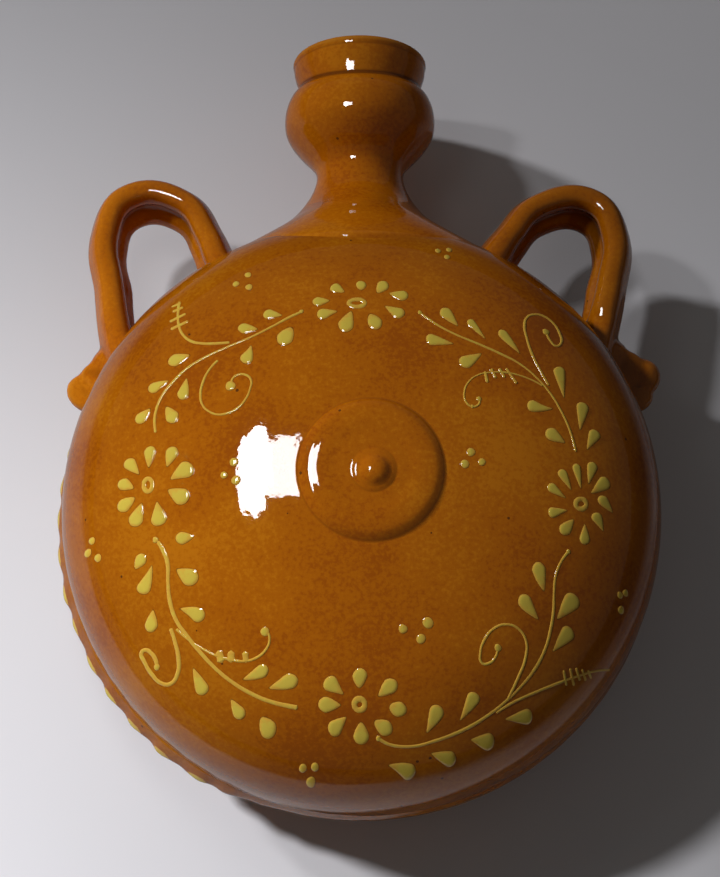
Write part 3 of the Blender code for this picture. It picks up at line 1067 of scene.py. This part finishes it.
# trails: width, then the points
trails = (
    (
        2.6, (301, 312), (288, 318), (275, 325), (250, 337.5), (225, 348), (200, 360),
        (185, 370), (172, 383), (162, 396), (156.5, 409), (154.5, 421), (155.5, 433),
    ),
    (
        2.4, (218, 360), (209, 370), (203, 382), (200.5, 395), (202.5, 405), (209, 411.5),
        (218, 414.5), (228, 413), (237, 408.5), (245, 400), (250, 389), (251, 380),
        (246, 375), (239, 374.5), (233, 378), (231, 384),
    ),
    (
        2.8, (230, 342.5), (215, 343.5), (203, 343.5), (192, 341.5), (184, 336),
        (179.5, 328), (178, 317), (178.5, 308), (179.5, 301.5),
    ),
    (
        2.4, (420, 313), (430, 320), (441, 327), (458, 335.5), (475, 342.5), (500, 353.5),
        (520, 364), (537, 378), (550, 393), (561, 411), (570, 431), (576, 452),
    ),
    (
        2.8, (549, 386), (540, 370), (532, 354), (526.5, 337), (524.5, 326), (527, 317.5),
        (534, 314.5), (543, 316), (552, 322), (559, 332), (561, 343), (556, 346),
        (550.5, 341), (546.5, 334),
    ),
    (
        2.0, (543, 386), (535, 381.5), (520, 375.5), (505, 372.5), (490, 372.5), (478, 375),
        (469, 381.5), (464.5, 391), (465.5, 401), (472, 406.5), (478.5, 404.5), (480, 399),
    ),
    (
        3.8, (157.5, 541), (163, 550), (167.5, 563), (168, 583), (170, 602), (176, 620),
        (187, 636), (200, 652), (215, 668), (232, 682), (250, 693), (270, 701.5), (298, 708),
    ),
    (
        3.8, (170.5, 628), (175, 642), (178.5, 658), (177.5, 674), (171, 683.5), (161, 683),
        (152, 674.5), (144.5, 662), (141.5, 653), (145, 650), (151.5, 653.5), (156, 661),
        (157.5, 669),
    ),
    (
        2.4, (176, 629), (187, 638.5), (202, 648.5), (216, 655.5), (232, 660), (246, 661),
        (257, 657.5), (266, 649.5), (269.5, 640), (267.5, 632.5), (264, 630.5),
    ),
    (
        2.8, (568, 552), (561, 562), (555.5, 577), (554, 594), (553.5, 611), (550.5, 630),
        (545.5, 648), (535.5, 668), (521.5, 686), (505, 702), (490, 714), (472, 725.5),
        (453, 734.5), (433, 741.5), (416, 746), (400, 746.5), (388, 744), (378, 738.5),
    ),
    (
        2.6, (508, 699), (518, 678), (525.5, 658), (526, 641), (518, 628.5), (506, 624.5),
        (494, 628.5), (485, 639), (480.5, 652), (482, 663), (489.5, 663), (496, 656),
        (498, 649),
    ),
    (
        2.2, (496, 713), (512, 703), (535, 692.5), (556, 684), (575, 677), (594, 671.5),
        (610, 670),
    ),
)

# ferns: short strokes across a trail, as start, end and width
strokes = (
    (171.5, 307, 181.5, 303, 3), (172.5, 312, 183.5, 307, 3), (169.5, 322, 186, 313.5, 3.2),
    (170.5, 329.5, 188.5, 321, 3.4), (485, 371, 487.5, 383, 3.4), (491, 368.5, 496, 378.5, 3.2),
    (499, 368, 505, 378, 3.2), (506, 368, 517, 384, 3), (563.5, 670, 566.5, 686, 3),
    (570, 668, 574, 686, 3), (576, 667.5, 580, 681, 3), (582, 669, 586, 681, 2.8),
    (588, 670, 591.5, 679, 2.6), (218, 650, 222, 663, 7), (231, 650, 231, 663, 7.5),
    (245, 651, 246, 663, 6),
)

# fat blobs at the ends of curls and trails
blobs = (
    (230.5, 386, 10), (546, 332, 7.5), (479, 399, 5.5), (157, 667, 6), (265, 631.5, 8.5),
    (498, 648, 7), (155.5, 540, 6), (301.5, 311.5, 4.5), (420, 312.5, 4.5),
    (378.5, 738.5, 5), (568.5, 551.5, 4.5), (472.5, 406.5, 4),
)


def onFront(front, px, py):
    start, way = sightLine(px, py)
    found, place, normal, face = front.ray_cast(start, way)
    return place if found else None


def drawTrail(front, bead, width, points, tidyEnds=True):
    # a line squeezed from the slip trailer, still flat
    places = [onFront(front, px, py) for px, py in points]
    places = [Vector((place.x, place.y, 0)) for place in places if place]
    half = width * slip["pixel"] / 2
    if tidyEnds:
        first, last = places[0], places[-1]
        inFirst = first + (places[1] - first).normalized() * half * slip["endReach"]
        inLast = last + (places[-2] - last).normalized() * half * slip["endReach"]
        places = [first, inFirst] + places[1:-1] + [inLast, last]
    sizes = [half * random.uniform(*slip["lineFat"]) for place in places]
    if tidyEnds:
        sizes[0] = sizes[-1] = half * slip["endFat"]
    return sweep("trail", bead, places, sizes, 10, closed=not tidyEnds)


def drawDrop(front, template, fat, tip, width, curl=0.0, lift=1.0):
    # copy the drop and pull it to a point
    center, point = onFront(front, *fat), onFront(front, *tip)
    copy = template.copy()
    copy.data = template.data.copy()
    bpy.context.collection.objects.link(copy)
    half = width * slip["pixel"] / 2
    axis = Vector((point.x - center.x, point.y - center.y))
    length = max(axis.length, half)
    axis = axis.normalized() if axis.length > 1e-6 else Vector((1, 0))
    side = Vector((-axis.y, axis.x))
    one, two, three = [random.uniform(-slip["dropWobble"], slip["dropWobble"]) for i in range(3)]
    for vertex in copy.data.vertices:
        a, b, up = vertex.co
        turn = math.atan2(b, a)
        grow = 1 + one * math.sin(turn) + two * math.sin(2 * turn) + three * math.cos(3 * turn)
        a, b = a * grow, b * grow
        forward = max(a, 0)
        toTip = min(forward, 1)
        taper = 1
        if length > half:
            taper -= slip["dropTaper"] * toTip**1.15 * min(length / half - 1, 1)
        along = a * (length if a > 0 else half)
        if a > 1:  # the skirt past the tip stays narrow
            along = length + (a - 1) * half
        across = b * half * taper + curl * half * 2 * forward**2
        flat = center.xy + axis * along + side * across
        vertex.co = (flat.x, flat.y, up * lift * (1 - slip["tipLower"] * toTip))
    return copy


def layOnFront(front, obj, lift, cover=1.0):
    # flat slip keeps its lift, and follows the front underneath
    amounts = []
    for vertex in obj.data.vertices:
        up = vertex.co.z
        place, outward = frontPlace(front, vertex.co.x, vertex.co.y)
        vertex.co = place + outward * (up * lift - slip["sink"])
        amounts.append(up if up < 0.3 else 0.3 + (up - 0.3) * cover)
    markSlip(obj, amounts)


def gather(name, pieces):
    take(pieces[0])
    for piece in pieces[1:]:
        piece.select_set(True)
    bpy.ops.object.join()
    obj = bpy.context.object
    obj.name = name
    obj.data.name = name
    return obj


def makeSlip(front):
    half = slip["bead"]
    mirrored = [(-across, up) for across, up in half]
    bead = drawShape(mirrored + list(half[-2::-1]), closed=False)
    template = throw("slipDrop", [(across, 0, up) for across, up in slip["drop"]], 44)

    drops, lines = [], []
    for (px, py, wide, high, width), *petals in flowers.values():
        for petal in petals:
            drops.append(drawDrop(front, template, petal[:2], petal[2:4], petal[4]))
        turns = [math.tau * i / 8 for i in range(8)]
        ring = [(px + wide * math.cos(turn), py + high * math.sin(turn)) for turn in turns]
        lines.append(drawTrail(front, bead, width, ring, tidyEnds=False))
    for leaf in leaves:
        drops.append(drawDrop(front, template, leaf[:2], leaf[2:4], *leaf[4:]))
    for px, py, width in dots + blobs:
        tip = (px + 0.01, py)
        drops.append(drawDrop(front, template, (px, py), tip, width, lift=slip["blobLift"]))
    for startX, startY, endX, endY, width in strokes:
        middle = ((startX + endX) / 2, (startY + endY) / 2)
        lines.append(drawTrail(front, bead, width, [(startX, startY), middle, (endX, endY)]))
    for width, *points in trails:
        lines.append(drawTrail(front, bead, width, points))
    for line in lines:  # a bead's lift grows with its width, so it is made even
        top = max(vertex.co.z for vertex in line.data.vertices)
        for vertex in line.data.vertices:
            vertex.co.z /= top
    bpy.data.objects.remove(bead)
    bpy.data.objects.remove(template)
    drops = gather("slipPetals", drops)
    lines = gather("slipTrails", lines)
    layOnFront(front, drops, slip["petalLift"])
    layOnFront(front, lines, slip["lineLift"], slip["lineCover"])
    for obj in (drops, lines):
        openMesh(obj)
        bpy.ops.mesh.remove_doubles(threshold=0.000002)
        bpy.ops.object.mode_set(mode="OBJECT")
        smooth(obj, 89)
    return drops, lines


# Floor, world and lamps

light = {
    "floor": (0.655, 0.650, 0.690),
    "floorRough": 0.45,
    "floorPaintedShade": ((0.40, 1.0), (0.95, 0.16)),  # painted shade: the floor's colour darkens far from the flask
    "world": (1.0, 0.95, 0.88),
    "worldStrength": 0.075,
    # painted reflection: how far the floor goes black where the glaze mirrors it: distance, share
    # that is lost
    "paintedMirrorFade": ((0.28, 0.42), (0.42, 0.92)),
    "tableMiddle": (-0.08, -0.06, 0.0),
    "paintedMirrorEdge": ((0.265, 0.42), (0.300, 0.92)),  # a painted dark edge across the lower left, seen in the mirror only
    "paintedMirrorEdgeWay": (-0.61, -0.79, 0.0),
    # two panes of a window over the left shoulder, mirrored beside the boss
    "panes": (
        ("ELLIPSE", (-0.1765, 0.108, 0.500), (0.066, 0.172)),
        ("RECTANGLE", (-0.1210, 0.110, 0.500), (0.054, 0.100)),
    ),
    "paneBright": 26.0,
    # two lamps, as place, aim, spread in degrees and power: one looks past the
    # flask to the lower left, so it fades to the upper right, the other across it
    "keys": (
        ((-1.05, 0.42, 1.40), (-1.37, -1.51, 0.0), 131.8, 412.0),
        ((-1.407, 0.920, 1.083), (9.0, -2.39, 0.0), 91.6, 106.0),
    ),
    "keySize": 0.075,
}


def makeFloor():
    letGo()
    bpy.ops.mesh.primitive_grid_add(x_subdivisions=8, y_subdivisions=8, size=16)
    floor = bpy.context.object
    floor.name = "floor"
    material, tree, shader, coords = startMaterial("paleTable")
    cloud = noise(tree, coords, 5, 4, 0.5)
    shade = light["floor"]
    color = ramp(tree, cloud, [(0.3, tuple(part * 0.97 for part in shade)), (0.7, shade)])
    # painted reflection: only in the glaze's mirror the floor goes black far off and past a line
    # across the lower left, for a dark room beyond the table
    away = vectorMaths(tree, "DISTANCE", coords, light["tableMiddle"])
    toEdge = vectorMaths(tree, "DOT_PRODUCT", coords, light["paintedMirrorEdgeWay"])
    far = ramp(tree, away, light["paintedMirrorFade"])
    far = maths(tree, "MAXIMUM", far, ramp(tree, toEdge, light["paintedMirrorEdge"]))
    mirrored = newNode(tree, "ShaderNodeLightPath").outputs["Is Glossy Ray"]
    color = mixColor(tree, times(tree, far, mirrored), color, (0.0, 0.0, 0.0))
    # painted shade: the floor's colour darkens far from the flask
    color = mixColor(tree, 1.0, color, ramp(tree, away, light["floorPaintedShade"]), "MULTIPLY")
    tree.links.new(color, shader.inputs["Base Color"])
    shader.inputs["Roughness"].default_value = light["floorRough"]
    floor.data.materials.append(material)


def makeWorld():
    world = bpy.data.worlds.new("room")
    bpy.context.scene.world = world
    world.use_nodes = True
    background = world.node_tree.nodes["Background"]
    background.inputs["Color"].default_value = (*light["world"], 1)
    background.inputs["Strength"].default_value = light["worldStrength"]


def makeLights():
    for i, (shape, place, size) in enumerate(light["panes"]):
        letGo()
        bpy.ops.object.light_add(type="AREA", location=place)
        pane = bpy.context.object
        pane.name = "pane" + str(i + 1)
        pane.data.shape = shape
        pane.data.size, pane.data.size_y = size
        pane.data.energy = light["paneBright"] * math.pi * size[0] * size[1]
        pane.visible_diffuse = False  # the panes are the highlight, the key lamps the light
    for i, (place, aim, spread, power) in enumerate(light["keys"]):
        letGo()
        bpy.ops.object.light_add(type="SPOT", location=place)
        key = bpy.context.object
        key.name = "keyLamp" + str(i + 1)
        key.data.energy = power
        key.data.spot_size = math.radians(spread)
        key.data.spot_blend = 1.0
        key.data.shadow_soft_size = light["keySize"]
        way = Vector(aim) - Vector(place)
        key.rotation_euler = way.to_track_quat("-Z", "Y").to_euler()
        key.visible_glossy = False


# Putting it together

makeCamera()
print("camera set")

front = makeFront()
print("front thrown")
back = makeBack()
print("back thrown")
disc = makeBoss(front)
band = makeStrip()
print("boss and edge strip laid on")
throat = makeNeck()
print("neck thrown")
left = makeHandle("handleLeft", handleLeft, -1)
right = makeHandle("handleRight", handleRight, 1)
print("handles pulled")
petals, lines = makeSlip(front)
print("slip trailed")
for piece in (front, back, throat, left, right):
    markPool(piece)
markPool(disc, 0.0018)
markPool(band, 0.002, 2)
print("hollows and edges marked")

# the front and its slip carry painted shade towards the rim
frontGlaze = makeGlaze("honeyGlaze", tint=1.07, rimTint=0.80)
backGlaze = makeGlaze("backGlaze", tint=0.9, wear=True)
stripGlaze = makeGlaze("stripGlaze", tint=0.82, slipRim=0.2)
# the neck and handles are lighter copies of the glaze, painted light; the handles also carry
# painted shade towards the right
neckGlaze = makeGlaze("neckGlaze", tint=1.14, drift=(0.31, 0.12, 0.24), wheelAxis="Y")
handleGlaze = makeGlaze("handleGlaze", tint=1.30, rightTint=0.64, wheelAxis="Y")
finish(front, frontGlaze, "front_glaze", "front_shell")
finish(back, backGlaze, "back_glaze", "back_shell")
finish(disc, frontGlaze, "boss_glaze", "front_boss")
finish(band, stripGlaze, "strip_glaze", "edge_strip")
finish(throat, neckGlaze, "neck_glaze", "neck")
finish(left, handleGlaze, "handle_glaze", "handle_left")
finish(right, handleGlaze, "handle_glaze", "handle_right")
finish(petals, frontGlaze, "front_glaze")
finish(lines, frontGlaze, "front_glaze")
print("glazed")

makeFloor()
makeWorld()
makeLights()
bpy.context.scene.view_settings.view_transform = "Standard"
print("lit")
